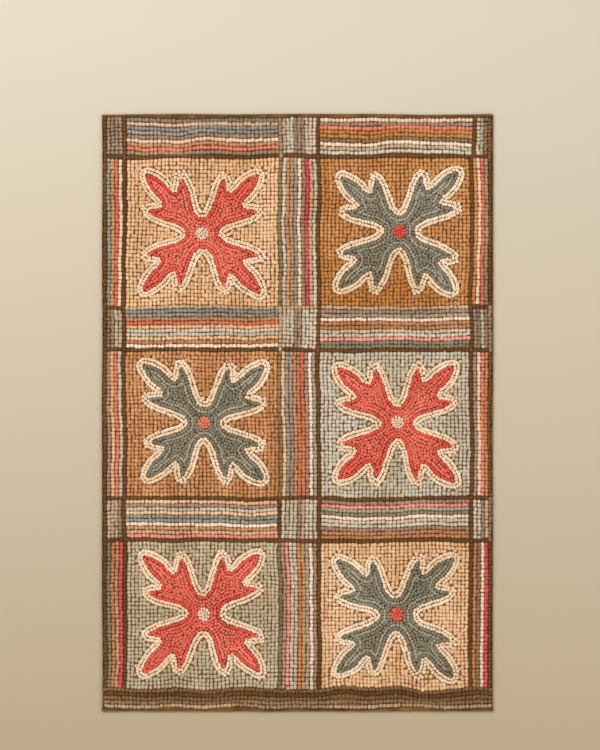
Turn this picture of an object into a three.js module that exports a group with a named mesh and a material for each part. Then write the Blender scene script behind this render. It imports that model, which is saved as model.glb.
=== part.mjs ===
// Hooked wool rug lying flat, pile up: a hooked field on a burlap ground, edged by four strips of
// cotton tape that wrap the rim and turn under. Millimetres, +Z up, +Y towards the rug's top edge.
// The origin is on the floor under the middle of the rug.
import * as THREE from 'three';

// Driving dimensions
const rugWidth = 624; // across X, between the outer edges of the side tapes
const rugLength = 953; // along Y, between the outer edges of the end tapes
const pileHeight = 8; // floor to the tops of the wool loops
const rimRadius = 2.6; // the outermost loops lean over and round the top rim
const rimSteps = 4; // facets of that rounding
const cornerRadius = 4; // corners of the hooked field, seen from above
const tapeHeight = 5; // floor to the top of the tape's fold around the rim
const tapeThickness = 1; // tape lying flat on the underside
const turnUnder = 25; // how far the tape reaches in under the rug
const turnUnderLeast = 0.6; // what is left of that where two strips meet at a corner
const foldHeight = 1.6; // height of the rounded top of the tape's fold
const foldSteps = 4; // facets of that rounding
const underEdge = 0.6; // softened lower edge of the fold
const seamGap = 0.3; // clearance between neighbouring pieces
const stationSpacing = 16; // distance between the sections along an edge
const stationLeast = 2; // no two sections nearer than this

const woolColour = 0xb98f68; // the many wools of the pile, seen together
const tapeColour = 0x70502c; // brown cotton tape

// The four edges as they really run. Along an edge, from one corner to the other:
//   at    place along the edge, from its middle towards +X or +Y
//   out   how far the tape bulges out past the straight line, minus where it draws in
//   show  how much of the tape shows outside the loops, inward from the straight line
const topEdge = [
  { at: -312, out: -0.9, show: 4.2 },
  { at: -245, out: 0.0, show: 5.4 },
  { at: -180, out: 0.6, show: 8.0 },
  { at: -110, out: -0.3, show: 5.8 },
  { at: -45, out: 0.3, show: 6.2 },
  { at: 15, out: 0.6, show: 5.0 },
  { at: 80, out: 0.3, show: 6.6 },
  { at: 118, out: 0.4, show: 4.8 },
  { at: 150, out: 0.1, show: 6.4 },
  { at: 205, out: -1.0, show: 6.8 },
  { at: 265, out: -0.5, show: 6.0 },
  { at: 312, out: 0.3, show: 4.4 },
];
const bottomEdge = [
  { at: -312, out: 0.2, show: 4.6 },
  { at: -262, out: 0.0, show: 4.4 },
  { at: -230, out: 0.3, show: 4.0 },
  { at: -195, out: 0.1, show: 7.0 },
  { at: -160, out: 0.2, show: 3.2 },
  { at: -125, out: 0.4, show: 5.6 },
  { at: -85, out: 0.0, show: 7.4 },
  { at: -50, out: 0.6, show: 2.8 },
  { at: -5, out: 0.2, show: 5.0 },
  { at: 55, out: 0.1, show: 3.4 },
  { at: 112, out: 0.3, show: 3.0 },
  { at: 165, out: 0.2, show: 6.6 },
  { at: 198, out: 0.0, show: 7.2 },
  { at: 232, out: 0.2, show: 3.2 },
  { at: 312, out: 0.1, show: 5.4 },
];
const leftEdge = [
  { at: -476.5, out: -0.3, show: 3.4 },
  { at: -440, out: -0.5, show: 3.2 },
  { at: -365, out: -0.7, show: 2.2 },
  { at: -300, out: 0.2, show: 1.5 },
  { at: -140, out: 0.0, show: 1.6 },
  { at: 55, out: 0.3, show: 1.4 },
  { at: 90, out: -0.4, show: 1.8 },
  { at: 250, out: 0.3, show: 1.4 },
  { at: 405, out: -0.4, show: 1.8 },
  { at: 476.5, out: 0.2, show: 1.6 },
];
const rightEdge = [
  { at: -476.5, out: -0.4, show: 1.8 },
  { at: -360, out: -0.6, show: 1.6 },
  { at: -210, out: 0.0, show: 1.5 },
  { at: -90, out: -0.4, show: 1.8 },
  { at: -20, out: -0.2, show: 4.2 },
  { at: 40, out: 0.2, show: 1.8 },
  { at: 180, out: 0.3, show: 1.4 },
  { at: 340, out: 0.2, show: 1.6 },
  { at: 476.5, out: 0.3, show: 1.8 },
];

// A smooth reading of an edge's table: place along the edge to { out, show }.
function edgeReader(table) {
  const places = table.map((row) => row.at);
  const values = table.flatMap((row) => [row.out, row.show]);
  const curve = new THREE.CubicInterpolant(places, values, 2);
  return (at) => {
    const inside = THREE.MathUtils.clamp(at, places[0], places[places.length - 1]);
    const [out, show] = curve.evaluate(inside);
    return { out, show };
  };
}

const top = edgeReader(topEdge);
const bottom = edgeReader(bottomEdge);
const left = edgeReader(leftEdge);
const right = edgeReader(rightEdge);
const halfWidth = rugWidth / 2;
const halfLength = rugLength / 2;

// A run of evenly spaced places, both ends included.
function places(from, to, steps) {
  return Array.from({ length: steps + 1 }, (_, i) => THREE.MathUtils.lerp(from, to, i / steps));
}

const stepsAcross = Math.round(rugWidth / stationSpacing);
const stepsAlong = Math.round(rugLength / stationSpacing);

// A closed solid through a stack of rings with equal counts, ends filled in. Seen from the last ring's
// side, the rings run anticlockwise. capPlane gives the two coordinates in which an end is drawn flat.
function loft(rings, capPlane) {
  const count = rings[0].length;
  const triangles = [];
  for (let r = 0; r + 1 < rings.length; r++) {
    for (let i = 0; i < count; i++) {
      const a = r * count + i;
      const b = r * count + ((i + 1) % count);
      triangles.push(a, b, b + count, a, b + count, a + count);
    }
  }
  const lastStart = (rings.length - 1) * count;
  const firstEnd = THREE.ShapeUtils.triangulateShape(rings[0].map(capPlane), []);
  const lastEnd = THREE.ShapeUtils.triangulateShape(rings.at(-1).map(capPlane), []);
  firstEnd.forEach(([a, b, c]) => triangles.push(a, c, b));
  lastEnd.forEach(([a, b, c]) => triangles.push(lastStart + a, lastStart + b, lastStart + c));
  const geometry = new THREE.BufferGeometry();
  const coordinates = rings.flat().flatMap((p) => p.toArray());
  geometry.setAttribute('position', new THREE.Float32BufferAttribute(coordinates, 3));
  geometry.setIndex(triangles);
  geometry.computeVertexNormals();
  return geometry;
}

// The hooked field's edges lie a seam's gap inside what shows of the tape.
const fieldLeft = (y) => -halfWidth + left(y).show + seamGap;
const fieldRight = (y) => halfWidth - right(y).show - seamGap;
const fieldBottom = (x) => -halfLength + bottom(x).show + seamGap;
const fieldTop = (x) => halfLength - top(x).show - seamGap;

// The field's outline at one height, anticlockwise from above, drawn in by inset all round.
function fieldRing(inset, z) {
  const reach = inset + cornerRadius; // a side ends this far short of its corner
  const cut = inset + cornerRadius * (1 - Math.SQRT1_2); // middle of the corner's arc
  const point = (x, y) => new THREE.Vector3(x, y, z);
  const corner = (sx, sy) => ({
    x: sx < 0 ? fieldLeft(sy * halfLength) : fieldRight(sy * halfLength),
    y: sy < 0 ? fieldBottom(sx * halfWidth) : fieldTop(sx * halfWidth),
  });
  const rounded = (sx, sy) => point(corner(sx, sy).x - sx * cut, corner(sx, sy).y - sy * cut);
  const across = (sy) => places(corner(-1, sy).x + reach, corner(1, sy).x - reach, stepsAcross);
  const along = (sx) => places(corner(sx, -1).y + reach, corner(sx, 1).y - reach, stepsAlong);
  return [
    rounded(-1, -1),
    ...across(-1).map((x) => point(x, fieldBottom(x) + inset)),
    rounded(1, -1),
    ...along(1).map((y) => point(fieldRight(y) - inset, y)),
    rounded(1, 1),
    ...across(1).reverse().map((x) => point(x, fieldTop(x) - inset)),
    rounded(-1, 1),
    ...along(-1).reverse().map((y) => point(fieldLeft(y) + inset, y)),
  ];
}

function hookedField() {
  const rebate = tapeThickness + seamGap; // room for the tape under the field's edge
  const rings = [
    fieldRing(turnUnder + seamGap, 0),
    fieldRing(turnUnder + seamGap, rebate),
    fieldRing(0, rebate),
  ];
  for (let i = 0; i <= rimSteps; i++) {
    const turn = (i / rimSteps) * (Math.PI / 2);
    const inset = rimRadius * (1 - Math.cos(turn));
    rings.push(fieldRing(inset, pileHeight - rimRadius * (1 - Math.sin(turn))));
  }
  return loft(rings, (p) => new THREE.Vector2(p.x, p.y));
}

// The tape's section at one station: depth in from the straight outer line, and height.
function tapeSection({ out, show }, reach) {
  const middle = (show - out) / 2;
  const radius = (show + out) / 2;
  const section = [
    [-out, underEdge],
    [-out + underEdge, 0],
    [reach, 0],
    [reach, tapeThickness],
    [show, tapeThickness],
  ];
  for (let i = 0; i <= foldSteps; i++) {
    const turn = (i / foldSteps) * Math.PI;
    section.push([middle + radius * Math.cos(turn), tapeHeight - foldHeight * (1 - Math.sin(turn))]);
  }
  return section;
}

// A strip of tape along one edge. place() turns (along, depth, height) into the rug's frame; clear is how
// far its mitred underside stays back from the corner's diagonal.
function tapeStrip(edge, stations, halfRun, clear, place) {
  return stations.map((at) => {
    const values = edge(at);
    const mitre = halfRun - Math.abs(at) - clear;
    const reach = THREE.MathUtils.clamp(mitre, values.show + turnUnderLeast, turnUnder);
    return tapeSection(values, reach).map(([depth, height]) => place(at, depth, height));
  });
}

// Stations with the turning points of the mitre among them, from one end of the strip to the other.
function tapeStations(low, high, mitreDepths, halfRun, steps) {
  const turns = mitreDepths.flatMap((depth) => [depth - halfRun, halfRun - depth]);
  const even = places(low, high, steps).slice(1, -1);
  const kept = even.filter((at) => turns.every((turn) => Math.abs(turn - at) > stationLeast));
  return [low, ...kept, ...turns, high].sort((a, b) => a - b);
}

// How deep an end tape lies at the corners, where the side tapes butt against it.
function cornerDepth(edge) {
  return Math.max(edge(-halfWidth).show, edge(halfWidth).show) + turnUnderLeast;
}

function endTape(edge, sign) {
  const mitreDepths = [cornerDepth(edge), turnUnder];
  const stations = tapeStations(-halfWidth, halfWidth, mitreDepths, halfWidth, stepsAcross);
  const run = sign > 0 ? stations.reverse() : stations;
  const place = (x, depth, z) => new THREE.Vector3(x, sign * (halfLength - depth), z);
  return loft(tapeStrip(edge, run, halfWidth, 0, place), (p) => new THREE.Vector2(-p.y * sign, p.z));
}

function sideTape(edge, sign) {
  const low = -halfLength + cornerDepth(bottom) + seamGap;
  const high = halfLength - cornerDepth(top) - seamGap;
  const mitreGap = seamGap * Math.SQRT2;
  const stations = tapeStations(low, high, [turnUnder + mitreGap], halfLength, stepsAlong);
  const run = sign > 0 ? stations : stations.reverse();
  const place = (y, depth, z) => new THREE.Vector3(sign * (halfWidth - depth), y, z);
  return loft(tapeStrip(edge, run, halfLength, mitreGap, place), (p) => new THREE.Vector2(-p.x * sign, p.z));
}

function named(name, geometry, material) {
  const mesh = new THREE.Mesh(geometry, material);
  mesh.name = name;
  return mesh;
}

const wool = new THREE.MeshStandardMaterial({ color: woolColour, roughness: 0.95, metalness: 0 });
const tape = () => new THREE.MeshStandardMaterial({ color: tapeColour, roughness: 0.85, metalness: 0 });

const rug = new THREE.Group();
rug.add(named('hooked_field', hookedField(), wool));
rug.add(named('binding_top', endTape(top, 1), tape()));
rug.add(named('binding_bottom', endTape(bottom, -1), tape()));
rug.add(named('binding_left', sideTape(left, -1), tape()));
rug.add(named('binding_right', sideTape(right, 1), tape()));

export default rug;
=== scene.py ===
import math

import bpy
import numpy as np
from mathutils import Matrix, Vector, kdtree


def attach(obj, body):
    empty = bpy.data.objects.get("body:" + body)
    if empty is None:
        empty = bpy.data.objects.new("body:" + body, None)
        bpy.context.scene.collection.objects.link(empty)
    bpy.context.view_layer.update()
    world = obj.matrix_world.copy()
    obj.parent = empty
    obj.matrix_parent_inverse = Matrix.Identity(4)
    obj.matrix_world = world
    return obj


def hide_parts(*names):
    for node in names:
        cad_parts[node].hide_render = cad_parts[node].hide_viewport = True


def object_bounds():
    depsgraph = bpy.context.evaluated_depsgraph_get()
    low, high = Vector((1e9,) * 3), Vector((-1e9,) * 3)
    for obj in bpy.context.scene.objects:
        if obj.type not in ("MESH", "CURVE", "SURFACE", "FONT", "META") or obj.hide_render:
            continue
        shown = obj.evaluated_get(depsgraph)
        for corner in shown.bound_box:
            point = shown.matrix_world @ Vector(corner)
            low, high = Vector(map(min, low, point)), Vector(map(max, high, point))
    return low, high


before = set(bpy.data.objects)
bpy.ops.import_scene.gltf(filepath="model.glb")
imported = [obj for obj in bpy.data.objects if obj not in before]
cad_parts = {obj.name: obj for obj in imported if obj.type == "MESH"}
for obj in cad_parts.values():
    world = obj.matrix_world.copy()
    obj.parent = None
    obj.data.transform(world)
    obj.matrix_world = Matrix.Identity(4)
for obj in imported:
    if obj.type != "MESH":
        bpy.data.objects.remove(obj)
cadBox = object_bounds()
mm = 0.001
bpy.ops.object.select_all(action="DESELECT")
print("frame loaded:", sorted(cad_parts))


# small helpers

def hexToLinear(code):  # sRGB hex to the linear colour a shader takes
    parts = [int(code[i:i + 2], 16) / 255 for i in (1, 3, 5)]
    return [c / 12.92 if c <= 0.04045 else ((c + 0.055) / 1.055) ** 2.4 for c in parts] + [1.0]


def addNode(tree, kind, settings, inputs):  # one node: its settings, and values or links for its sockets
    node = tree.nodes.new(kind)
    for key, value in settings.items():
        setattr(node, key, value)
    for key, value in inputs.items():
        if isinstance(value, tuple) and hasattr(value[0], "outputs"):
            tree.links.new(value[0].outputs[value[1]], node.inputs[key])
        else:
            node.inputs[key].default_value = value
    return node


def newMaterial(name):  # an empty node tree with its output
    material = bpy.data.materials.new(name)
    material.use_nodes = True
    material.node_tree.nodes.clear()
    output = material.node_tree.nodes.new("ShaderNodeOutputMaterial")
    return material, material.node_tree, output


def softNoise(x, y, lump, seed):  # smooth noise from -1 to 1, in lumps of so many mm
    cells = 64
    shiftX, shiftY = 23.4, 37.8
    table = np.random.default_rng(seed).uniform(-1, 1, (cells, cells))
    u, v = np.asarray(x) / lump + shiftX, np.asarray(y) / lump + shiftY
    i, j = np.floor(u).astype(int), np.floor(v).astype(int)
    f, g = u - i, v - j
    f, g = f * f * (3 - 2 * f), g * g * (3 - 2 * g)
    left, right = i % cells, (i + 1) % cells
    near, far = j % cells, (j + 1) % cells
    low = table[left, near] * (1 - f) + table[right, near] * f
    high = table[left, far] * (1 - f) + table[right, far] * f
    return low * (1 - g) + high * g


def meshFromArrays(name, points, faceSizes, corners):  # a joined mesh straight from arrays
    mesh = bpy.data.meshes.new(name)
    mesh.vertices.add(len(points))
    mesh.vertices.foreach_set("co", np.asarray(points, np.float32).ravel())
    mesh.loops.add(len(corners))
    mesh.loops.foreach_set("vertex_index", np.asarray(corners, np.int32))
    mesh.polygons.add(len(faceSizes))
    starts = np.concatenate([[0], np.cumsum(faceSizes)[:-1]])
    mesh.polygons.foreach_set("loop_start", starts.astype(np.int32))
    mesh.update(calc_edges=True)
    mesh.polygons.foreach_set("use_smooth", np.ones(len(faceSizes), bool))
    piece = bpy.data.objects.new(name, mesh)
    bpy.context.scene.collection.objects.link(piece)
    return piece


def takeShape(piece):  # a modelled shape's points, face sizes and corners, then it goes
    mesh = piece.data
    points = np.empty(len(mesh.vertices) * 3)
    mesh.vertices.foreach_get("co", points)
    sizes = np.empty(len(mesh.polygons), np.int64)
    mesh.polygons.foreach_get("loop_total", sizes)
    corners = np.empty(len(mesh.loops), np.int64)
    mesh.loops.foreach_get("vertex_index", corners)
    bpy.data.objects.remove(piece)
    return points.reshape(-1, 3), sizes, corners


def nodePoints(name):  # a CAD node's points, in mm
    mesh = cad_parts[name].data
    points = np.empty(len(mesh.vertices) * 3)
    mesh.vertices.foreach_get("co", points)
    return points.reshape(-1, 3) / mm


# the plan of the rug: spans in mm from its middle, each with its count of hooked rows
columnPlan = {
    "left": (-310.3, -273.0, 6),
    "panelA": (-273.0, -30.8, 40),
    "middle": (-30.8, 36.9, 11),
    "panelB": (36.9, 273.9, 39),
    "right": (273.9, 310.5, 6),
}
rowPlan = {
    "top": (470.2, 405.4, 10),
    "row1": (405.4, 171.2, 39),
    "sash1": (171.2, 97.6, 12),
    "row2": (97.6, -133.6, 38),
    "sash2": (-133.6, -206.2, 12),
    "row3": (-206.2, -438.6, 39),
    "foot": (-438.6, -471.0, 5),
}
fieldSpan = {"left": -310.3, "right": 310.5, "top": 470.2, "bottom": -471.0}
hooking = {
    "pitch": 6.05, "alongJitter": 0.26, "acrossJitter": 0.22, "turnJitter": 9.0,
    "stripLoops": 22, "stripChange": 9,  # loops pulled from one strip of wool
}

# each stripe is one row of loops: sashes are read from the top down
sashStripes = {
    ("top", "panelA"): "slateOlive peach blueGrey blueGrey taupe cream camel coral taupe brown",
    ("top", "panelB"): "cream mauve coral ochre ochre oliveBrown white oliveSage paleSage brown",
    ("sash1", "panelA"):
        "strawTaupe blueGrey blueGrey camel vermilion straw paleSage sage straw terracotta white brown",
    ("sash1", "panelB"):
        "strawTaupe mauve greyGreen white terracotta terracotta "
        "sage paleSage pink slateOlive slateOlive brown",
    ("sash2", "panelA"): "brown straw mauve sage straw blueGrey blueGrey white camel peach pink brown",
    ("sash2", "panelB"):
        "brown mauve pink greyGreen slateOlive white paleSage paleSage mauve terracotta terracotta brown",
}
# upright bands are read from left to right
bandStripes = {
    ("row1", "left"): "brown blueGrey camel vermilion cream brown",
    ("row2", "left"): "brown mauve straw coral sage brown",
    ("row3", "left"): "brown slateOlive terracotta camel crimson brown",
    ("row1", "middle"): "oliveBrown sage camel camel blueGrey cream taupe crimson peach sage brown",
    ("row2", "middle"):
        "oliveBrown straw blueGrey mauve camel terracotta vermilion taupe white greyGreen brown",
    ("row3", "middle"): "oliveBrown mauve pink sage sage ochre camel greyGreen white taupe brown",
    ("row1", "right"): "brown ochre cream vermilion mauve brown",
    ("row2", "right"): "brown taupe cream coral terracotta brown",
    ("row3", "right"): "brown terracotta oliveBrown cream crimson brown",
}
# the small blocks where bands cross are hooked in tweedy upright rows; at _ the sash beside runs on instead
blockStripes = {
    ("top", "left"): "brown taupe slateOlive taupe taupe brown",
    ("sash1", "left"): "brown oliveBrown taupe oliveSage oliveSage brown",
    ("sash2", "left"): "brown oliveSage strawTaupe oliveSage taupe brown",
    ("top", "middle"): "taupe oliveSage sage sage taupe mauve taupe sage paleSage paleSage brown",
    ("sash1", "middle"): "strawTaupe oliveSage sage sage taupe mauve sage sage paleSage paleSage brown",
    ("sash2", "middle"): "brown sage oliveSage sage oliveSage taupe strawTaupe sage paleSage sage brown",
    ("top", "right"): "_ brown oliveSage greyGreen oliveBrown umber",
    ("sash1", "right"): "brown taupe slateOlive sage taupe taupe",
    ("sash2", "right"): "brown paleSage paleSage taupe strawTaupe oliveBrown",
}
sashRunsOn = {("top", "panelB"): 6.1}  # mm
footStripes = "umber brown umber oliveBrown khaki"
redLeaf = ["leafRed", "leafCoral"]  # from a leaf's outer row inwards
slateLeaf = ["slate", "paleSlate", "slate"]
panels = {
    ("row1", "panelA"): {"ground": "straw", "leaf": redLeaf, "heart": "cream", "shift": (1, -1)},
    ("row1", "panelB"): {"ground": "ochre", "leaf": slateLeaf, "heart": "leafRed", "shift": (6, 0)},
    ("row2", "panelA"): {"ground": "cinnamon", "leaf": slateLeaf, "heart": "coral", "shift": (3, 2)},
    ("row2", "panelB"): {"ground": "sage", "leaf": redLeaf, "heart": "cream", "shift": (3, 2)},
    ("row3", "panelA"): {"ground": "oliveSage", "leaf": redLeaf, "heart": "cream", "shift": (3, 2)},
    ("row3", "panelB"): {"ground": "straw", "leaf": slateLeaf, "heart": "leafRed", "shift": (3, 0)},
}
# patches where the dye came out paler (above 0) or deeper: place, reach both ways, how much
dyePatches = [
    (-42, 290, 22, 130, 0.45), (228, 376, 70, 45, 0.5), (266, 270, 14, 110, 0.35), (150, 195, 60, 40, -0.4),
    (-150, 85, 60, 22, 0.4), (-60, 60, 35, 40, 0.4), (-262, -20, 16, 110, 0.4), (110, -300, 60, 70, 0.3),
]
# dyed wools: the usual shade, and the lighter or warmer one that other strips of it have
wools = {
    "brown": ("#67421c", "#7a5228"), "umber": ("#7a5636", "#8f6c49"),
    "oliveBrown": ("#826843", "#9d815a"), "khaki": ("#a2835f", "#d0b088"),
    "cream": ("#ecc9a9", "#f6dec7"), "white": ("#f5d7ba", "#fce8d2"),
    "straw": ("#dfb07e", "#f1cca1"), "strawTaupe": ("#ba9a76", "#d5b894"),
    "peach": ("#d2a37f", "#e3bd9f"), "ochre": ("#be7c3e", "#d49a5f"),
    "cinnamon": ("#bd7e4a", "#dba270"), "camel": ("#c0885e", "#d3a178"),
    "terracotta": ("#b8784a", "#c99368"), "coral": ("#e17c5f", "#ee9a7c"),
    "vermilion": ("#d46a49", "#e28662"), "pink": ("#ea8f7b", "#f9ae98"),
    "crimson": ("#cd4645", "#e16361"), "leafRed": ("#db4d40", "#ea6758"),
    "leafCoral": ("#e76a55", "#f68971"), "sage": ("#c2b39a", "#d8cfbb"),
    "paleSage": ("#cfc0a8", "#e0d3c0"), "oliveSage": ("#bba786", "#d2c3a6"),
    "mauve": ("#a2816a", "#b89c8b"), "taupe": ("#9b7e65", "#b2957d"),
    "greyGreen": ("#a49984", "#bdb29d"), "blueGrey": ("#8c8879", "#a6a398"),
    "slate": ("#7f7762", "#948d78"), "paleSlate": ("#9b9581", "#afa997"),
    "slateOlive": ("#847a62", "#988e74"), "outlineCream": ("#f0d2ab", "#fbe7cc"),
}


# where the hooking really lies

def edgeLine(node, along, across, low, high):  # an edge of a solid as (places along it, places across it)
    points = nodePoints(node)
    near = points[(points[:, across] > low) & (points[:, across] < high)]
    near = near[(near[:, 2] > 3) & (near[:, 2] < 5.5)] if node == "hooked_field" else near
    order = np.argsort(near[:, along])
    return near[order, along], near[order, across]


edgeLines = {
    "left": edgeLine("hooked_field", 1, 0, -330, -296),
    "right": edgeLine("hooked_field", 1, 0, 296, 330),
    "top": edgeLine("hooked_field", 0, 1, 450, 490),
    "bottom": edgeLine("hooked_field", 0, 1, -490, -450),
}
wander = {  # the first and last bands wave the most
    "lump": 58, "reach": 2.1, "fineLump": 23, "fineReach": 0.75, "edgeFade": 24, "fadeBend": 1.5,
    "waveLump": 44, "waveReach": 4.0, "waveFrom": 15, "waveTo": 62,
}


def settle(x, y):  # from the even plan to where a hand hooked it
    fade = {}
    for side, at in (("left", x), ("right", x), ("top", y), ("bottom", y)):
        nearness = 1 - np.abs(at - fieldSpan[side]) / wander["edgeFade"]
        fade[side] = np.clip(nearness, 0, 1) ** wander["fadeBend"]
    inner = 1 - np.maximum.reduce([fade[s] for s in fade])
    dx = wander["reach"] * softNoise(x, y, wander["lump"], 11)
    dx = dx + wander["fineReach"] * softNoise(x, y, wander["fineLump"], 12)
    dy = wander["reach"] * softNoise(x, y, wander["lump"], 13)
    dy = dy + wander["fineReach"] * softNoise(x, y, wander["fineLump"], 14)
    for side, seed in (("top", 15), ("bottom", 16)):
        off = np.abs(y - fieldSpan[side])
        rising = np.clip(off / wander["waveFrom"], 0, 1)
        falling = np.clip((wander["waveTo"] - off) / wander["waveFrom"], 0, 1)
        wave = wander["waveReach"] * softNoise(x, 0 * y, wander["waveLump"], seed)
        dy = dy + rising * falling * wave
    movedX, movedY = x + inner * dx, y + inner * dy
    for side in ("left", "right"):  # rim rows follow the edge
        movedX = movedX + fade[side] * (np.interp(y, *edgeLines[side]) - fieldSpan[side])
    for side in ("top", "bottom"):
        movedY = movedY + fade[side] * (np.interp(x, *edgeLines[side]) - fieldSpan[side])
    return movedX, movedY


loops = {key: [] for key in ("x", "y", "turn", "wool", "strip", "along", "across")}
hand = np.random.default_rng(1893)  # the hand that hooked it, the same each run
stripCount = 0


def hook(x, y, turn, wool, along, across, strip):  # adds loops to the rug
    count = len(x)
    loops["x"].append(np.asarray(x, float))
    loops["y"].append(np.asarray(y, float))
    loops["turn"].append(np.broadcast_to(turn, count).astype(float))
    loops["wool"].extend([wool] * count if isinstance(wool, str) else list(wool))
    loops["along"].append(np.broadcast_to(along, count).astype(float))
    loops["across"].append(np.broadcast_to(across, count).astype(float))
    loops["strip"].append(np.asarray(strip))


def stripsFor(count):  # which strip of wool each loop of a row was pulled from
    global stripCount
    usual, change = hooking["stripLoops"], hooking["stripChange"]
    ends = np.cumsum(hand.integers(usual - change, usual + change + 1, count // 8 + 2))
    which = stripCount + np.searchsorted(ends, np.arange(count), side="right")
    stripCount = int(which[-1]) + 1 if count else stripCount
    return which


def hookRow(start, end, wool, across):  # a straight row of loops in the plan
    start, end = np.array(start, float), np.array(end, float)
    length = np.linalg.norm(end - start)
    count = max(1, round(length / hooking["pitch"]))
    step = (end - start) / count
    at = start + (np.arange(count) + 0.5)[:, None] * step
    turn = math.atan2(step[1], step[0])
    hook(at[:, 0], at[:, 1], turn, wool, length / count, across, stripsFor(count))


def hookAcross(row, column, chart):  # a sash: rows side to side, from the top down
    top, bottom, count = rowPlan[row]
    left, right = columnPlan[column][:2]
    right += sashRunsOn.get((row, column), 0)
    deep = (top - bottom) / count
    for i, wool in enumerate(chart.split()):
        y = top - (i + 0.5) * deep
        hookRow((left, y), (right, y), wool, deep)


def hookUpright(row, column, chart, rowsFrom, rowsTo):  # a band: upright rows, from left to right
    left, right, count = columnPlan[column]
    wide = (right - left) / count
    for i, wool in enumerate(chart.split()):
        if wool == "_":
            continue
        x = left + (i + 0.5) * wide
        outerLine = i in (0, count - 1)  # the dark lines beside a band run on without a break
        top, bottom, rows = rowPlan[row]
        deep = (top - bottom) / rows
        high, low = (0, rows) if outerLine else (rowsFrom, rowsTo)
        hookRow((x, top - high * deep), (x, top - low * deep), wool, wide)


def hookBarRow(row, column, index, wool):  # a row that closes a band's stripes off from a block
    left, right, count = columnPlan[column]
    top, bottom, rows = rowPlan[row]
    wide, deep = (right - left) / count, (top - bottom) / rows
    y = top - (index + 0.5) * deep
    hookRow((left + wide, y), (right - wide, y), wool, deep)


for (row, column), chart in sashStripes.items():
    hookAcross(row, column, chart)
for (row, column), chart in bandStripes.items():
    hookUpright(row, column, chart, 0, rowPlan[row][2])
for (row, column), chart in blockStripes.items():
    firstRow = 0 if row == "top" else 1
    lastRow = rowPlan[row][2] - 1
    hookUpright(row, column, chart, firstRow, lastRow)
    for index in ([lastRow] if row == "top" else [0, lastRow]):
        isPale = (row, column, index) == ("sash1", "middle", 0)
        hookBarRow(row, column, index, "strawTaupe" if isPale else "brown")
footTop, footBottom, footRows = rowPlan["foot"]
footDeep = (footTop - footBottom) / footRows
for i, wool in enumerate(footStripes.split()):
    y = footTop - (i + 0.5) * footDeep
    hookRow((fieldSpan["left"], y), (fieldSpan["right"], y), wool, footDeep)
print("bands hooked:", sum(map(len, loops["x"])), "loops")

# the leaf cross: half a leaf beside its own midrib, in mm along the rib and out from it
leafPlan = {
    "half": [(24, 14.5), (38, 16.5), (57, 26), (73, 34), (86, 36.5),
             (79, 24), (76, 14.5), (87, 10.5), (105, 10.5), (121, 6.5)],
    "tip": 131,
    "waist": 25.5,  # from the middle to the notch between two leaves
    "samples": 8,
    "lengthChange": 0.035, "turnChange": 2.5, "widthChange": 0.07,
    "heart": [(1, 0), (6, 4.6), (10, 8.5)],  # the round middle: loops in a ring, and its radius
    "pitch": 4.9, "rowPitch": 5.3, "paleRowPitch": 5.6, "paleRows": 2,
}
# how closely the loops of a leaf cross pack: shares of a pitch, and mm
packing = {
    "leafRows": 8, "straying": 0.4, "roomShare": 0.78, "groundClear": 0.36, "freeRing": 1.6,
    "searchStep": 1.1, "rimFrom": 2.8, "rimTo": 2.7, "holeFrom": 3.7, "groundHole": 4.7, "leafHole": 3.9,
    "passes": 8, "pushShare": 0.28, "pushMost": 0.8,
    "neighbours": 4, "alongRange": (4.3, 6.3), "acrossRange": (4.5, 6.4), "acrossShare": 1.04,
}


def crossOutline():  # the whole cross, anticlockwise, each leaf a little different
    knots = []
    for quarter in range(4):
        length = 1 + hand.uniform(-1, 1) * leafPlan["lengthChange"]
        axis = math.radians(45 + 90 * quarter + hand.uniform(-1, 1) * leafPlan["turnChange"])
        notch = math.radians(90 * quarter)
        knots.append((leafPlan["waist"] * math.cos(notch), leafPlan["waist"] * math.sin(notch)))
        sides = []
        for side in (-1, 1):
            width = side * (1 + hand.uniform(-1, 1) * leafPlan["widthChange"])
            sides.append([(a * length, o * width) for a, o in leafPlan["half"]])
        for a, o in sides[0] + [(leafPlan["tip"] * length, 0)] + sides[1][::-1]:
            knots.append((a * math.cos(axis) - o * math.sin(axis), a * math.sin(axis) + o * math.cos(axis)))
    p = np.array(knots)
    before, after, later = np.roll(p, 1, 0), np.roll(p, -1, 0), np.roll(p, -2, 0)
    t = (np.arange(leafPlan["samples"]) / leafPlan["samples"])[:, None, None]
    smooth = 0.5 * (2 * p + (after - before) * t + (2 * before - 5 * p + 4 * after - later) * t ** 2
                    + (3 * p - before - 3 * after + later) * t ** 3)
    return smooth.transpose(1, 0, 2).reshape(-1, 2)


def distanceTo(points, outline):  # distance to the outline, negative inside it
    a, b = outline, np.roll(outline, -1, 0)
    ab = b - a
    ap = points[:, None] - a
    t = np.clip((ap * ab).sum(2) / (ab * ab).sum(1), 0, 1)
    near = np.linalg.norm(ap - t[..., None] * ab, axis=2).min(1)
    py, px = points[:, None, 1], points[:, None, 0]
    spans = (a[:, 1] > py) != (b[:, 1] > py)
    rise = np.where(ab[:, 1] == 0, 1, ab[:, 1])
    crossings = (spans & (px < a[:, 0] + (py - a[:, 1]) * ab[:, 0] / rise)).sum(1)
    return np.where(crossings % 2 == 1, -near, near)


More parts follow.
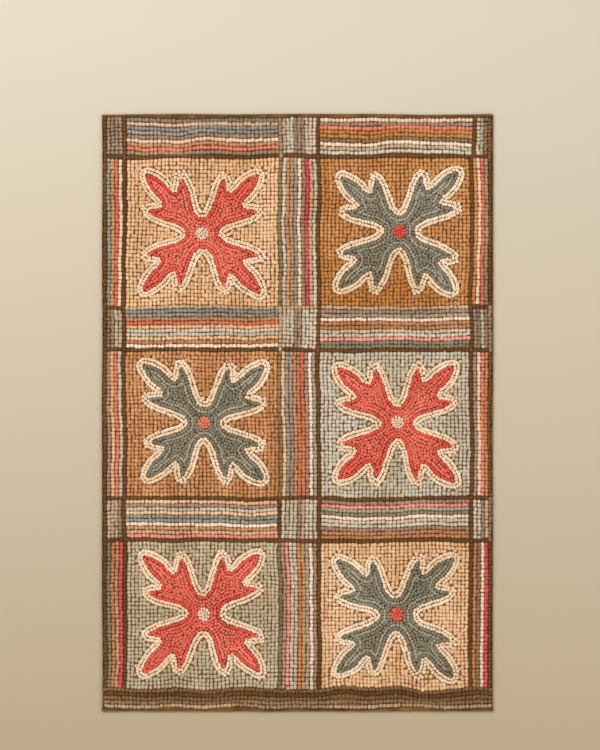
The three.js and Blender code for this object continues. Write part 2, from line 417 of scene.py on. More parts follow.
def contourRow(outline, offset):  # a row of loops that keeps one distance from the outline
    tangent = np.roll(outline, -1, 0) - np.roll(outline, 1, 0)
    tangent /= np.linalg.norm(tangent, axis=1)[:, None]
    line = outline + offset * np.stack([tangent[:, 1], -tangent[:, 0]], 1)
    extra = np.linspace(0, 1, 5)[:-1, None, None]
    line = (line * (1 - extra) + np.roll(line, -1, 0) * extra).transpose(1, 0, 2).reshape(-1, 2)
    true = np.abs(distanceTo(line, outline) - offset) < packing["straying"]
    breaks = np.flatnonzero(~true)
    if len(breaks):
        line, true = np.roll(line, -breaks[0], 0), np.roll(true, -breaks[0])
    edges = np.flatnonzero(np.diff(np.concatenate([[False], true, [False]]).astype(int)))
    placed, turns = [np.zeros((0, 2))], [np.zeros(0)]
    for first, last in zip(edges[::2], edges[1::2]):
        run = line[first:last]
        travel = np.concatenate([[0], np.cumsum(np.linalg.norm(np.diff(run, axis=0), axis=1))])
        count = round(travel[-1] / leafPlan["pitch"])
        if count < 1:
            continue
        stops = (np.arange(count) + 0.5) / count * travel[-1]
        at, ahead, behind = (
            np.stack([np.interp(stops + d, travel, run[:, k]) for k in (0, 1)], 1) for d in (0, 1, -1))
        placed.append(at)
        turns.append(np.arctan2(*(ahead - behind).T[::-1]))
    return np.concatenate(placed), np.concatenate(turns)


def nearTree(points):  # for asking which loops lie nearest
    tree = kdtree.KDTree(len(points))
    for i, p in enumerate(points):
        tree.insert((p[0], p[1], 0), i)
    tree.balance()
    return tree


def spread(points, fixed):  # crowded loops push each other apart, as packed wool does
    points = points.copy()
    free = np.flatnonzero(~fixed)
    for _ in range(packing["passes"]):
        apart = points[free][:, None] - points[None]
        gap = np.linalg.norm(apart, axis=2) + 1e-9
        push = np.clip(leafPlan["rowPitch"] - gap, 0, None) * (gap > 1e-6)
        move = (apart / gap[..., None] * push[..., None]).sum(1) * packing["pushShare"]
        points[free] += np.clip(move, -packing["pushMost"], packing["pushMost"])
    return points


def hookPanel(row, column, panel):  # the leaf cross, its pale outline, and upright rows around them
    left, right, columns = columnPlan[column]
    top, bottom, rows = rowPlan[row]
    wide, deep = (right - left) / columns, (top - bottom) / rows
    middle = np.array([(left + right) / 2, (top + bottom) / 2]) + panel["shift"]
    outline = crossOutline()
    palePitch, pale = leafPlan["paleRowPitch"], leafPlan["paleRows"]
    paleReach = palePitch * pale
    spots, turns, names = np.zeros((0, 2)), [], []
    for count, radius in leafPlan["heart"]:
        ring = np.arange(count) * math.tau / count + hand.uniform(0, 1)
        spots = np.concatenate([spots, radius * np.stack([np.cos(ring), np.sin(ring)], 1)])
        turns += list(ring + math.pi / 2)
        names += [panel["heart"]] * count
    heartCount = len(names)
    for i in range(-pale, packing["leafRows"]):  # from the pale outline in to the midrib
        offset = -(i + 0.5) * (palePitch if i < 0 else leafPlan["rowPitch"])
        at, turn = contourRow(outline, offset)
        wool = "outlineCream" if i < 0 else panel["leaf"][min(i, len(panel["leaf"]) - 1)]
        for p, a in zip(at, turn):  # only where there is room for a loop
            if np.linalg.norm(spots - p, axis=1).min() > packing["roomShare"] * leafPlan["pitch"]:
                spots = np.concatenate([spots, p[None]])
                turns.append(a)
                names.append(wool)
    motifCount = len(names)
    columnsAt, rowsAt = left + (np.arange(columns) + 0.5) * wide, top - (np.arange(rows) + 0.5) * deep
    gridX, gridY = np.meshgrid(columnsAt, rowsAt)
    grid = np.stack([gridX.T.ravel(), gridY.T.ravel()], 1) - middle
    grid = grid[distanceTo(grid, outline) > paleReach + packing["groundClear"] * wide]
    spots = np.concatenate([spots, grid])
    turns += [math.pi / 2] * len(grid)
    names += [panel["ground"]] * len(grid)
    rimFrom, rimTo, fineStep = packing["rimFrom"], packing["rimTo"], packing["searchStep"]
    fineAcross = np.arange(left + rimFrom, right - rimTo, fineStep)
    fineUp = np.arange(bottom + rimFrom, top - rimTo, fineStep)
    fineX, fineY = np.meshgrid(fineAcross, fineUp)
    fine = np.stack([fineX.ravel(), fineY.ravel()], 1) - middle
    tree = nearTree(spots)
    room = np.array([tree.find((p[0], p[1], 0))[2] for p in fine])
    hole = room > packing["holeFrom"]
    fine, room = fine[hole], room[hole]
    side = distanceTo(fine, outline)
    need = np.where(side > paleReach, packing["groundHole"], packing["leafHole"])
    while (room - need).max() > 0:  # loops tucked in where rows leave a hole
        k = int((room - need).argmax())
        tucked = panel["leaf"][-1]
        if side[k] > 0:
            tucked = "outlineCream"
        if side[k] > paleReach:
            tucked = panel["ground"]
        spots = np.concatenate([spots, fine[k][None]])
        turns.append(hand.uniform(0, math.pi))
        names.append(tucked)
        room = np.minimum(room, np.linalg.norm(fine - fine[k], axis=1))
    count = len(spots)
    away = distanceTo(spots, outline)
    fixed = away > paleReach + packing["freeRing"] * wide
    fixed[:heartCount] = True
    spots = spread(spots, fixed)
    tree = nearTree(spots)
    asked = packing["neighbours"] + 1  # a loop finds itself first
    spacing = np.array([np.mean([hit[2] for hit in tree.find_n((p[0], p[1], 0), asked)][1:]) for p in spots])
    along = np.where(fixed & (away > 0), deep, np.clip(spacing, *packing["alongRange"]))
    fuller = spacing * packing["acrossShare"]
    across = np.where(fixed & (away > 0), wide, np.clip(fuller, *packing["acrossRange"]))
    strip = np.concatenate([stripsFor(motifCount), stripsFor(count - motifCount)])
    hook(spots[:, 0] + middle[0], spots[:, 1] + middle[1], np.array(turns), names, along, across, strip)


for (row, column), panel in panels.items():
    hookPanel(row, column, panel)
for key in ("x", "y", "turn", "along", "across", "strip"):
    loops[key] = np.concatenate(loops[key])
loops["wool"] = np.array(loops["wool"])
print("panels hooked:", len(loops["x"]), "loops in all")

# from the plan to the rug, with the unevenness of a hand
loops["x"] = loops["x"] + hand.normal(0, hooking["alongJitter"], len(loops["x"]))
loops["y"] = loops["y"] + hand.normal(0, hooking["acrossJitter"], len(loops["y"]))
loops["x"], loops["y"] = settle(loops["x"], loops["y"])
loops["turn"] = loops["turn"] + np.radians(hand.normal(0, hooking["turnJitter"], len(loops["turn"])))

# one wool loop, modelled once: a foot drawn into the burlap, a full square belly, a rounded crown
loopForm = {
    "cornerCut": 0.22, "foot": 1.9, "belly": 4.6, "shoulder": 6.9, "top": 7.9,
    "shoulderAlong": 0.78, "shoulderAcross": 0.7,
    "heightChange": 0.05, "lean": 0.5, "fullAlong": 1.1, "fullAcross": 1.04, "sizeChange": 0.07,
    "leanHeight": 6, "leanBend": 1.5, "shortest": -0.1, "tallest": 0.06,
}


def selectFaces(piece, wanted):  # selects faces in edit mode by a test on each face
    bpy.ops.object.mode_set(mode="OBJECT")
    for part in (piece.data.vertices, piece.data.edges, piece.data.polygons):
        part.foreach_set("select", np.zeros(len(part), bool))
    for face in piece.data.polygons:
        face.select = wanted(face)
    bpy.ops.object.mode_set(mode="EDIT")
    bpy.ops.mesh.select_mode(type="FACE")


def modelLoop():  # unit width, real heights in mm
    height = loopForm["belly"] - loopForm["foot"]
    middle = loopForm["foot"] + height / 2
    bpy.ops.mesh.primitive_cube_add(size=1, location=(0, 0, middle), scale=(1, 1, height))
    piece = bpy.context.object
    bpy.ops.object.transform_apply(location=True, rotation=True, scale=True)
    for edge in piece.data.edges:  # the four upright edges
        ends = [piece.data.vertices[v].co for v in edge.vertices]
        edge.select = abs(ends[0].z - ends[1].z) > height / 2
    upright = [edge.select for edge in piece.data.edges]
    bpy.ops.object.mode_set(mode="EDIT")
    bpy.ops.mesh.select_mode(type="EDGE")
    bpy.ops.mesh.select_all(action="DESELECT")
    bpy.ops.object.mode_set(mode="OBJECT")
    piece.data.edges.foreach_set("select", upright)
    bpy.ops.object.mode_set(mode="EDIT")
    bpy.ops.mesh.bevel(offset=loopForm["cornerCut"], segments=1, affect="EDGES")
    selectFaces(piece, lambda face: face.normal.z < -0.9)
    bpy.ops.mesh.merge(type="CENTER")
    selectFaces(piece, lambda face: face.normal.z > 0.9)
    lift = loopForm["shoulder"] - loopForm["belly"]
    bpy.ops.mesh.extrude_region_move(TRANSFORM_OT_translate={"value": (0, 0, lift)})
    bpy.ops.transform.resize(value=(loopForm["shoulderAlong"], loopForm["shoulderAcross"], 1))
    bpy.ops.mesh.poke(offset=loopForm["top"] - loopForm["shoulder"])
    bpy.ops.object.mode_set(mode="OBJECT")
    return takeShape(piece)


# the strip runs flat behind the burlap from one loop to the next
runForm = {
    "long": 6.3, "wide": 4.0, "low": 0.12, "high": 1.5, "faceShare": 0.72, "pulled": 0.3,
    "clear": 27.5,  # no runs this near the edge, where the tape lies
}


def modelRun():
    height = runForm["high"] - runForm["low"]
    bpy.ops.mesh.primitive_cube_add(size=1, location=(0, 0, runForm["low"] + height / 2))
    piece = bpy.context.object
    bpy.ops.transform.resize(value=(runForm["long"], runForm["wide"], height))
    bpy.ops.object.transform_apply(location=True, rotation=True, scale=True)
    selectFaces(piece, lambda face: face.normal.z < -0.9)
    bpy.ops.transform.resize(value=(runForm["faceShare"], runForm["faceShare"], 1))
    bpy.ops.object.mode_set(mode="OBJECT")
    return takeShape(piece)


def stamp(shape, at, turn, size, lean, root):  # copies of a shape as one mesh's arrays, in mm
    points, sizes, corners = shape
    count, each = len(at), len(points)
    x = points[None, :, 0] * size[:, 0:1]
    y = points[None, :, 1] * size[:, 1:2]
    z = root + (points[None, :, 2] - root) * size[:, 2:3]
    c, s = np.cos(turn)[:, None], np.sin(turn)[:, None]
    rise = np.clip((z - root) / loopForm["leanHeight"], 0, None) ** loopForm["leanBend"]
    placed = np.stack([
        c * x - s * y + at[:, 0:1] + lean[:, 0:1] * rise,
        s * x + c * y + at[:, 1:2] + lean[:, 1:2] * rise,
        z], 2).reshape(-1, 3)
    shifted = (corners[None] + each * np.arange(count)[:, None]).ravel()
    return placed, np.tile(sizes, count), shifted


# a bake map has a cell for each copy, its upper faces in one half and its lower ones in the other
def cellMap(piece, stamped):
    margin = 2.3  # 2 would fill the cell to its rim
    cells = sum(count for _, count in stamped)
    columns = math.ceil(math.sqrt(cells / 2))
    rows = math.ceil(cells / columns)
    maps, first = [], 0
    for (points, sizes, corners), count in stamped:
        flat = points[:, :2] / (np.abs(points[:, :2]).max(0) * margin) + 0.5
        faceOf = np.repeat(np.arange(len(sizes)), sizes)
        starts = np.concatenate([[0], np.cumsum(sizes)[:-1]])
        middles = np.add.reduceat(points[corners, 2], starts) / sizes
        fullest = points[np.abs(points[:, 0]).argmax(), 2]  # height of the widest part
        lower = (middles < fullest - 0.01)[faceOf]
        u = flat[corners, 0] / 2 + np.where(lower, 0.5, 0.0)
        cell = first + np.arange(count)[:, None]
        across = (cell % columns + u) / columns
        down = (cell // columns + flat[corners, 1]) / rows
        maps.append(np.stack([across, down], 2).reshape(-1, 2))
        first += count
    layer = piece.data.uv_layers.new(name="OFBake")
    layer.data.foreach_set("uv", np.concatenate(maps).astype(np.float32).ravel())


# hand-dyed wool flannel: matt, faintly fuzzy, with painted shade that makes it darker and warmer down between
# the loops
woolForm = {"fibre": 0.9, "nap": 0.4, "paintedShadeFrom": 2.8, "paintedShadeTo": 7.8, "paintedShadeTint": (0.74, 0.37, 0.1, 1.0)}


def woolMaterial(name, shade, paler):
    material, tree, output = newMaterial("dyed wool flannel " + name)
    place = addNode(tree, "ShaderNodeTexCoord", {}, {})
    dye = addNode(tree, "ShaderNodeAttribute", {"attribute_name": "dye"}, {})
    tone = addNode(tree, "ShaderNodeAttribute", {"attribute_name": "tone"}, {})
    colour = addNode(tree, "ShaderNodeMix", {"data_type": "RGBA"},
                     {0: (dye, "Fac"), 6: hexToLinear(shade), 7: hexToLinear(paler)})
    clump = woolForm["fibre"] * mm  # coarser than real fibre so that it shows
    fibre = addNode(tree, "ShaderNodeTexNoise", {},
                    {"Vector": (place, "Object"), "Scale": 1 / clump, "Detail": 3.0, "Roughness": 0.6})
    fleck = addNode(tree, "ShaderNodeMapRange", {}, {0: (fibre, "Fac"), 1: 0.3, 2: 0.7, 3: 0.86, 4: 1.12})
    height = addNode(tree, "ShaderNodeSeparateXYZ", {}, {0: (place, "Object")})
    # painted shade: from the crown down to the root the colour is multiplied towards a dark warm tint,
    # standing in for the shade between the loops
    low, high = woolForm["paintedShadeFrom"] * mm, woolForm["paintedShadeTo"] * mm
    paintedShadeDepth = addNode(tree, "ShaderNodeMapRange", {"interpolation_type": "SMOOTHSTEP"},
                    {0: (height, "Z"), 1: low, 2: high, 3: 1.0, 4: 0.0})
    paintedShadeColour = addNode(tree, "ShaderNodeMix", {"data_type": "RGBA", "blend_type": "MULTIPLY"},
                     {0: (paintedShadeDepth, 0), 6: (colour, 2), 7: woolForm["paintedShadeTint"]})
    shadeOf = addNode(tree, "ShaderNodeMath", {"operation": "MULTIPLY"}, {0: (fleck, 0), 1: (tone, "Fac")})
    tinted = addNode(tree, "ShaderNodeVectorMath", {"operation": "SCALE"},
                     {0: (paintedShadeColour, 2), "Scale": (shadeOf, 0)})
    nap = addNode(tree, "ShaderNodeBump", {},
                  {"Strength": 0.5, "Distance": woolForm["nap"] * mm, "Height": (fibre, "Fac")})
    shader = addNode(tree, "ShaderNodeBsdfPrincipled", {}, {
        "Base Color": (tinted, 0), "Roughness": 0.93, "IOR": 1.5, "Specular IOR Level": 0.2,
        "Sheen Weight": 0.07, "Sheen Roughness": 0.6, "Sheen Tint": (1.0, 0.82, 0.6, 1.0),
        "Normal": (nap, 0)})
    tree.links.new(shader.outputs[0], output.inputs[0])
    return material


# how the dye varies, from 0 for a wool's usual shade to 1 for its paler one
dyeing = {
    "middle": 0.42, "byStrip": 0.20, "byLot": 0.28, "byLoop": 0.10, "lotLump": 55,
    "toneChange": 0.045, "toneLot": 0.04, "toneLump": 14, "toneRange": (0.8, 1.2),
}
loopShape, runShape = modelLoop(), modelRun()
loopCount = len(loops["x"])
stripTone = hand.normal(0, 1, stripCount + 1)
dyeLot = softNoise(loops["x"], loops["y"], dyeing["lotLump"], 21)
dye = dyeing["middle"] + dyeing["byStrip"] * stripTone[loops["strip"]] + dyeing["byLot"] * dyeLot
loops["dye"] = np.clip(dye + hand.normal(0, dyeing["byLoop"], loopCount), 0, 1)
for x, y, reachX, reachY, amount in dyePatches:
    near = np.exp(-((loops["x"] - x) / reachX) ** 2 - ((loops["y"] - y) / reachY) ** 2)
    loops["dye"] = np.clip(loops["dye"] + amount * near, 0, 1)
tone = 1 + hand.normal(0, dyeing["toneChange"], loopCount)
tone = tone + dyeing["toneLot"] * softNoise(loops["x"], loops["y"], dyeing["toneLump"], 22)
loops["tone"] = np.clip(tone, *dyeing["toneRange"])
swell = 1 + hand.normal(0, loopForm["sizeChange"], (loopCount, 2))
tall = 1 + hand.normal(0, loopForm["heightChange"], loopCount).clip(loopForm["shortest"], loopForm["tallest"])
leaning = hand.normal(0, loopForm["lean"], (loopCount, 2))
sizeAlong = loops["along"] * loopForm["fullAlong"] * swell[:, 0]
sizeAcross = loops["across"] * loopForm["fullAcross"] * swell[:, 1]
loopSizes = np.stack([sizeAlong, sizeAcross, tall], 1)
edgeRoom = np.minimum.reduce([
    loops["x"] - fieldSpan["left"], fieldSpan["right"] - loops["x"],
    loops["y"] - fieldSpan["bottom"], fieldSpan["top"] - loops["y"]])

for name, (shade, paler) in wools.items():
    mine = np.flatnonzero(loops["wool"] == name)
    if not len(mine):
        continue
    at = np.stack([loops["x"][mine], loops["y"][mine]], 1)
    turn = loops["turn"][mine]
    pile = stamp(loopShape, at, turn, loopSizes[mine], leaning[mine], loopForm["foot"])
    back = mine[edgeRoom[mine] > runForm["clear"]]
    ahead = np.stack([np.cos(loops["turn"][back]), np.sin(loops["turn"][back])], 1) * hooking["pitch"] / 2
    backAt = np.stack([loops["x"][back], loops["y"][back]], 1) + ahead
    still = np.zeros((len(back), 2))
    drawn = np.ones((len(back), 3))
    drawn[:, 2] = 1 - runForm["pulled"] * hand.random(len(back))  # some pulled tighter
    runs = stamp(runShape, backAt, loops["turn"][back], drawn, still, runForm["high"])
    points = np.concatenate([pile[0], runs[0]]) * mm
    sizes = np.concatenate([pile[1], runs[1]])
    corners = np.concatenate([pile[2], runs[2] + len(pile[0])])
    piece = meshFromArrays("loops_" + name, points, sizes, corners)
    eachPoint = np.concatenate([np.repeat(mine, len(loopShape[0])), np.repeat(back, len(runShape[0]))])
    for key in ("dye", "tone"):
        layer = piece.data.attributes.new(key, "FLOAT", "POINT")
        layer.data.foreach_set("value", loops[key][eachPoint].astype(np.float32))
    cellMap(piece, [(loopShape, len(mine)), (runShape, len(back))])
    piece.data.materials.append(woolMaterial(name, shade, paler))
    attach(piece, "root")
    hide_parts("hooked_field")

# the burlap ground that the loops stand in
burlapForm = {
    "low": 1.3, "thick": 0.9, "inset": 1.2, "across": 48, "along": 72,
    "thread": 2.1, "dark": "#8a6234", "pale": "#c39a60", "flat": (0.618, 0.938),
}
waveScale = 0.314  # gives a wave texture one band for each unit of length


def burlapMaterial():  # plain-woven jute: coarse dry threads, straw brown
    material, tree, output = newMaterial("plain-woven jute burlap")
    place = addNode(tree, "ShaderNodeTexCoord", {}, {})
    weave = []
    for direction in ("X", "Y"):
        fine = waveScale / (burlapForm["thread"] * mm)
        weave.append(addNode(tree, "ShaderNodeTexWave", {"bands_direction": direction},
                             {"Vector": (place, "Object"), "Scale": fine, "Distortion": 0.6}))
    threads = addNode(tree, "ShaderNodeMath", {"operation": "MAXIMUM"},
                      {0: (weave[0], "Fac"), 1: (weave[1], "Fac")})
    dark, pale = hexToLinear(burlapForm["dark"]), hexToLinear(burlapForm["pale"])
    colour = addNode(tree, "ShaderNodeMix", {"data_type": "RGBA"}, {0: (threads, 0), 6: dark, 7: pale})
    bump = addNode(tree, "ShaderNodeBump", {},
                   {"Strength": 0.7, "Distance": 0.5 * mm, "Height": (threads, 0)})
    shader = addNode(tree, "ShaderNodeBsdfPrincipled", {}, {
        "Base Color": (colour, 2), "Roughness": 0.95, "Specular IOR Level": 0.15, "Normal": (bump, 0)})
    tree.links.new(shader.outputs[0], output.inputs[0])
    return material


bpy.ops.mesh.primitive_grid_add(
    x_subdivisions=burlapForm["across"], y_subdivisions=burlapForm["along"], size=2)
burlap = bpy.context.object
burlap.name = burlap.data.name = "burlap_ground"
flat = np.empty(len(burlap.data.vertices) * 3)
burlap.data.vertices.foreach_get("co", flat)
u, v = (flat.reshape(-1, 3)[:, k] / 2 + 0.5 for k in (0, 1))
planX = fieldSpan["left"] + u * (fieldSpan["right"] - fieldSpan["left"])
planY = fieldSpan["bottom"] + v * (fieldSpan["top"] - fieldSpan["bottom"])
leftX, rightX = (np.interp(planY, *edgeLines[s]) for s in ("left", "right"))
lowY, highY = (np.interp(planX, *edgeLines[s]) for s in ("bottom", "top"))
inset = burlapForm["inset"]
laid = np.stack([
    leftX + inset + u * (rightX - leftX - 2 * inset), lowY + inset + v * (highY - lowY - 2 * inset),
    np.full(len(u), burlapForm["low"])], 1) * mm
burlap.data.vertices.foreach_set("co", laid.ravel())
burlap.data.update()
thicken = burlap.modifiers.new("thickness", "SOLIDIFY")
thicken.thickness, thicken.offset = burlapForm["thick"] * mm, 1.0
bpy.ops.object.modifier_apply(modifier="thickness")
burlap.data.materials.append(burlapMaterial())
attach(burlap, "root")
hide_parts("hooked_field")
print("burlap laid")

# cotton tape wrapped round the rim: under the rug, up its edge and over, tucked down beside the loops
tapeForm = {
    "thick": 0.9, "turnUnder": 25, "top": 5.0, "foldHeight": 1.6, "footing": 0.03, "tuck": 1.1,
    "spacing": 5, "ripple": 0.22, "rippleLump": 9, "ribWidth": 1.3, "ribSlant": 58, "wearLump": 26,
    "dark": "#6b4723", "worn": "#927040",
    "halfWide": 312, "halfLong": 476.5, "mitreGap": 0.6,  # the rug's rim, and room left in the mitres
    "rows": (5, 4, 5, 2),  # lines of points under the rug, up its rim, over the fold, tucked in
    "edgeRound": 0.7, "heelRound": 0.18, "rimHeights": (0.2, 0.8, 2.1), "tuckIn": 0.12, "rowWide": 2.6,
}
tapes = {
    "binding_top": {"along": 0, "across": 1, "sign": 1},
    "binding_bottom": {"along": 0, "across": 1, "sign": -1},
    "binding_left": {"along": 1, "across": 0, "sign": -1},
    "binding_right": {"along": 1, "across": 0, "sign": 1},
}


# brown cotton twill tape: matt, fine slanted ribs, rubbed paler and olive in places
def tapeMaterial():
    material, tree, output = newMaterial("woven cotton twill tape")
    place = addNode(tree, "ShaderNodeTexCoord", {}, {})
    strip = addNode(tree, "ShaderNodeAttribute", {"attribute_name": "stripPlace"}, {})
    slant = addNode(tree, "ShaderNodeMapping", {},
                    {"Vector": (strip, "Vector"), "Rotation": (0, 0, math.radians(tapeForm["ribSlant"]))})
    fine = waveScale / (tapeForm["ribWidth"] * mm)  # drawn wider than real so that ribs show
    rib = addNode(tree, "ShaderNodeTexWave", {"bands_direction": "X"},
                  {"Vector": (slant, 0), "Scale": fine, "Distortion": 0.8})
    wear = addNode(tree, "ShaderNodeTexNoise", {},
                   {"Vector": (place, "Object"), "Scale": 1 / (tapeForm["wearLump"] * mm), "Detail": 3.0})
    worn = addNode(tree, "ShaderNodeMapRange", {}, {0: (wear, "Fac"), 1: 0.4, 2: 0.68, 3: 0.0, 4: 1.0})
    cloth = addNode(tree, "ShaderNodeMix", {"data_type": "RGBA"},
                    {0: (worn, 0), 6: hexToLinear(tapeForm["dark"]), 7: hexToLinear(tapeForm["worn"])})
    shadow = addNode(tree, "ShaderNodeMapRange", {}, {0: (rib, "Fac"), 3: 0.72, 4: 1.08})
    colour = addNode(tree, "ShaderNodeVectorMath", {"operation": "SCALE"},
                     {0: (cloth, 2), "Scale": (shadow, 0)})
    bump = addNode(tree, "ShaderNodeBump", {},
                   {"Strength": 0.5, "Distance": 0.35 * mm, "Height": (rib, "Fac")})
    shader = addNode(tree, "ShaderNodeBsdfPrincipled", {}, {
        "Base Color": (colour, 0), "Roughness": 0.9, "Specular IOR Level": 0.2, "Normal": (bump, 0)})
    tree.links.new(shader.outputs[0], output.inputs[0])
    return material


def tapeLines(name):  # a tape's fold: places along it, its inner and outer lines
    along, across, sign = (tapes[name][key] for key in ("along", "across", "sign"))
    points = nodePoints(name)
    level = tapeForm["top"] - tapeForm["foldHeight"]
    ring = np.unique(points[np.abs(points[:, 2] - level) < 0.05].round(2), axis=0)
    ring = ring[np.lexsort((sign * ring[:, across], ring[:, along]))]
    return ring[0::2, along], sign * ring[0::2, across], sign * ring[1::2, across]


def wrapTape(name, cloth):
    along, across, sign = (tapes[name][key] for key in ("along", "across", "sign"))
    places, innerLine, outerLine = tapeLines(name)
    low, high = places[0], places[-1]
    stations = round((high - low) / tapeForm["spacing"])
    rimAt, foldAt, tuckAt, lines = (int(total) for total in np.cumsum(tapeForm["rows"]))
    bpy.ops.mesh.primitive_grid_add(x_subdivisions=stations, y_subdivisions=lines - 1, size=2)
    piece = bpy.context.object
    piece.name = piece.data.name = name + "_tape"
    flat = np.empty(len(piece.data.vertices) * 3)
    piece.data.vertices.foreach_get("co", flat)
    u, v = (flat.reshape(-1, 3)[:, k] / 2 + 0.5 for k in (0, 1))
    at = low + u * (high - low)
    step = np.rint(v * (lines - 1)).astype(int)
    inner, outer = np.interp(at, places, innerLine), np.interp(at, places, outerLine)
    halfWide, halfLong, gap = (tapeForm[key] for key in ("halfWide", "halfLong", "mitreGap"))
    ends, straight, cut = (halfWide, halfLong, 0) if along == 0 else (halfLong, halfWide, gap)
    corner = ends - np.abs(at)  # room left before the corner's mitre
    deep = straight - np.clip(corner - cut, straight - inner + gap, tapeForm["turnUnder"])
    middle, half = (inner + outer) / 2, (outer - inner) / 2
    level = tapeForm["top"] - tapeForm["foldHeight"]
    across0, height = np.empty(len(at)), np.empty(len(at))
    for k in range(lines):
        mine = step == k
        if k < rimAt:  # flat under the rug, from its inner edge out
            share = k / (rimAt - 1)
            across0[mine] = (deep * (1 - share) + (outer - tapeForm["edgeRound"]) * share)[mine]
            height[mine] = tapeForm["footing"]
        elif k < foldAt:  # up the rim
            across0[mine] = (outer - (tapeForm["heelRound"] if k == rimAt else 0))[mine]
            height[mine] = (tapeForm["rimHeights"] + (level,))[k - rimAt]
        elif k < tuckAt:  # over the fold
            turn = (k - foldAt + 1) / (tuckAt - foldAt + 1) * math.pi
            across0[mine] = (middle + half * math.cos(turn))[mine]
            height[mine] = level + tapeForm["foldHeight"] * math.sin(turn)
        else:  # tucked down beside the loops
            across0[mine] = (inner - tapeForm["tuckIn"] * (k - tuckAt))[mine]
            height[mine] = level - tapeForm["tuck"] * (k - tuckAt)
    onRim = np.clip((step - rimAt + 1) / 3, 0, 1)
    ripple = tapeForm["ripple"] * onRim * softNoise(at, step * 3.0, tapeForm["rippleLump"], 31)
    shaped = np.empty((len(at), 3))
    shaped[:, along] = at
    shaped[:, across] = sign * (across0 + ripple * 0.7)
    shaped[:, 2] = height + ripple * (height > 1)
    piece.data.vertices.foreach_set("co", (shaped * mm).ravel())
    layer = piece.data.attributes.new("stripPlace", "FLOAT_VECTOR", "POINT")
    flatPlace = np.stack([at, step * tapeForm["rowWide"], np.zeros(len(at))], 1) * mm
    layer.data.foreach_set("vector", flatPlace.astype(np.float32).ravel())
    piece.data.update()
    bpy.ops.object.mode_set(mode="EDIT")
    bpy.ops.mesh.select_all(action="SELECT")
    if sign * (1 if along == 0 else -1) > 0:
        bpy.ops.mesh.flip_normals()
    bpy.ops.object.mode_set(mode="OBJECT")
    thicken = piece.modifiers.new("thickness", "SOLIDIFY")
    thicken.thickness, thicken.offset = tapeForm["thick"] * mm, -1.0
    bpy.ops.object.modifier_apply(modifier="thickness")
    bpy.ops.object.shade_smooth()
    piece.data.materials.append(cloth)
    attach(piece, "root")
    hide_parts(name)
    return piece


bpy.ops.object.select_all(action="DESELECT")
tapeCloth = tapeMaterial()
tapePieces = {name: wrapTape(name, tapeCloth) for name in tapes}
for name, piece in tapePieces.items():
    piece.data.update()

# along the top edge the tape is whipped down with brown yarn, which shows as short ribs
whipForm = {
    "spacing": 4.9, "yarn": 1.25, "sides": 6, "steps": 6, "rise": 2.1, "foot": 3.0, "slant": 0.22,
    "endClear": 3, "placeChange": 0.35, "grip": 0.3, "yarnChange": 0.1, "flattened": 1.7, "sunk": 0.2,
    "dark": "#704c27", "pale": "#8a683a", "toneChange": 0.06,
}


def modelWhip():  # one stitch: a bar of yarn bowed over an edge of unit half width
    bpy.ops.mesh.primitive_circle_add(
        vertices=whipForm["sides"], radius=0.5, location=(0, 1, 0), fill_type="NGON")
    piece = bpy.context.object
    bpy.ops.object.transform_apply(location=True, rotation=True, scale=True)
    bpy.ops.object.mode_set(mode="EDIT")
    bpy.ops.mesh.select_all(action="SELECT")
    bpy.ops.mesh.spin(steps=whipForm["steps"], angle=math.pi, center=(0, 0, 0), axis=(1, 0, 0))
    bpy.ops.mesh.select_all(action="SELECT")
    bpy.ops.mesh.remove_doubles(threshold=0.001)
    bpy.ops.mesh.normals_make_consistent(inside=False)
    bpy.ops.object.mode_set(mode="OBJECT")
    return takeShape(piece)


whipShape = modelWhip()
places, innerLine, outerLine = tapeLines("binding_top")
clear = whipForm["endClear"]
whipCount = round((places[-1] - places[0] - 2 * clear) / whipForm["spacing"])
whipX = np.linspace(places[0] + clear, places[-1] - clear, whipCount)
whipX = whipX + hand.normal(0, whipForm["placeChange"], whipCount)
whipIn, whipOut = np.interp(whipX, places, innerLine), np.interp(whipX, places, outerLine)
points = whipShape[0]
reach = (whipOut - whipIn)[:, None] / 2 + whipForm["grip"]
yarn = whipForm["yarn"] * (1 + hand.normal(0, whipForm["yarnChange"], (whipCount, 1)))
bow = np.hypot(points[:, 1], points[:, 2])[None]  # 1 along the yarn's middle line
turn = np.arctan2(points[:, 2], points[:, 1])[None]
lifted = np.abs(np.sin(turn))  # 0 at the stitch's ends, 1 at its crown
sideways = whipForm["slant"] * reach * np.cos(turn)
spotX = whipX[:, None] + points[None, :, 0] * yarn * whipForm["flattened"] + sideways
spotY = ((whipIn + whipOut)[:, None] / 2) + (reach + (bow - 1) * yarn) * np.cos(turn)
spotZ = whipForm["foot"] + (whipForm["rise"] + (bow - 1) * yarn) * lifted - whipForm["sunk"] * (1 - lifted)
spots = np.stack([spotX, spotY, spotZ], 2).reshape(-1, 3) * mm
corners = (whipShape[2][None] + len(points) * np.arange(whipCount)[:, None]).ravel()
whipping = meshFromArrays("whip_stitches", spots, np.tile(whipShape[1], whipCount), corners)
whipDye = hand.uniform(0, 1, whipCount)
whipTone = 1 + hand.normal(0, whipForm["toneChange"], whipCount)
for key, value in (("dye", whipDye), ("tone", whipTone)):
    layer = whipping.data.attributes.new(key, "FLOAT", "POINT")
    layer.data.foreach_set("value", np.repeat(value, len(points)).astype(np.float32))
whipping.data.materials.append(woolMaterial("whipping yarn", whipForm["dark"], whipForm["pale"]))
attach(whipping, "root")
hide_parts("binding_top")
print("edge bound:", whipCount, "stitches")
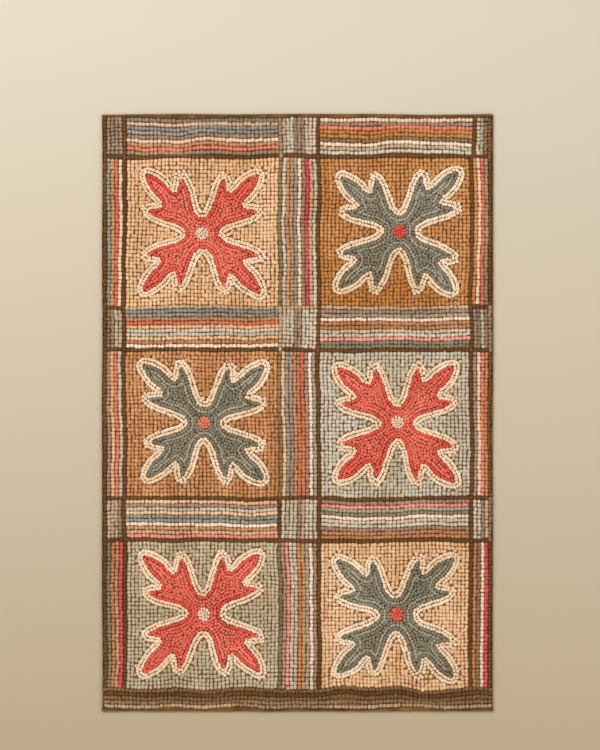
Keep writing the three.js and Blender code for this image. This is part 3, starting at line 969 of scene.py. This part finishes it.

# the floor, the light and the camera
# the floor colour runs from near to far as a painted light falloff
floorForm = {"side": 9.0, "near": "#bca888", "far": "#dbcfba", "paintedFalloffFrom": -0.62, "paintedFalloffTo": 0.62}
bpy.ops.mesh.primitive_plane_add(size=floorForm["side"], location=(0, 0, 0))
floor = bpy.context.object
floor.name = "floor"
floorMaterial, tree, output = newMaterial("matt backdrop paper with painted light falloff")  # painted light falloff: paler towards the far end
place = addNode(tree, "ShaderNodeTexCoord", {}, {})
axes = addNode(tree, "ShaderNodeSeparateXYZ", {}, {0: (place, "Object")})
paintedFalloff = addNode(tree, "ShaderNodeMapRange", {},
                {0: (axes, "Y"), 1: floorForm["paintedFalloffFrom"], 2: floorForm["paintedFalloffTo"]})
paper = addNode(tree, "ShaderNodeMix", {"data_type": "RGBA"},
                {0: (paintedFalloff, 0), 6: hexToLinear(floorForm["near"]), 7: hexToLinear(floorForm["far"])})
shader = addNode(tree, "ShaderNodeBsdfPrincipled", {}, {
    "Base Color": (paper, 2), "Roughness": 0.9, "Specular IOR Level": 0.2})
tree.links.new(shader.outputs[0], output.inputs[0])
floor.data.materials.append(floorMaterial)

lamps = {
    "key": {"at": (-1.5, 1.7, 2.6), "size": 1.6, "watts": 65},
    "fill": {"at": (1.9, -1.2, 2.8), "size": 2.2, "watts": 37},
}
skyForm = {"colour": (1.0, 0.98, 0.95, 1.0), "strength": 0.47}
for name, lamp in lamps.items():
    bpy.ops.object.light_add(type="AREA", location=lamp["at"])
    light = bpy.context.object
    light.name = name
    light.data.shape = "SQUARE"
    light.data.size, light.data.energy = lamp["size"], lamp["watts"]
    away = light.location.copy()
    light.rotation_euler = away.to_track_quat("Z", "Y").to_euler()
world = bpy.data.worlds.new("studio")
world.use_nodes = True
sky = world.node_tree.nodes["Background"]
sky.inputs[0].default_value = skyForm["colour"]
sky.inputs[1].default_value = skyForm["strength"]
bpy.context.scene.world = world
bpy.context.scene.view_settings.view_transform = "Standard"

photo = {"wide": 600, "high": 750, "mmPerPixel": 1.5943, "rugMiddle": (297.5, 412.9)}
cameraForm = {"height": 3.2, "sensor": 24.0}
seen = photo["high"] * photo["mmPerPixel"] * mm
camX = (photo["wide"] / 2 - photo["rugMiddle"][0]) * photo["mmPerPixel"] * mm
camY = (photo["rugMiddle"][1] - photo["high"] / 2) * photo["mmPerPixel"] * mm
bpy.ops.object.camera_add(location=(camX, camY, cameraForm["height"]), rotation=(0, 0, 0))
camera = bpy.context.object
camera.data.sensor_fit = "VERTICAL"
camera.data.sensor_height = cameraForm["sensor"]
camera.data.lens = cameraForm["sensor"] * (cameraForm["height"] - cadBox[1].z) / seen
bpy.context.scene.camera = camera
print("stage set")
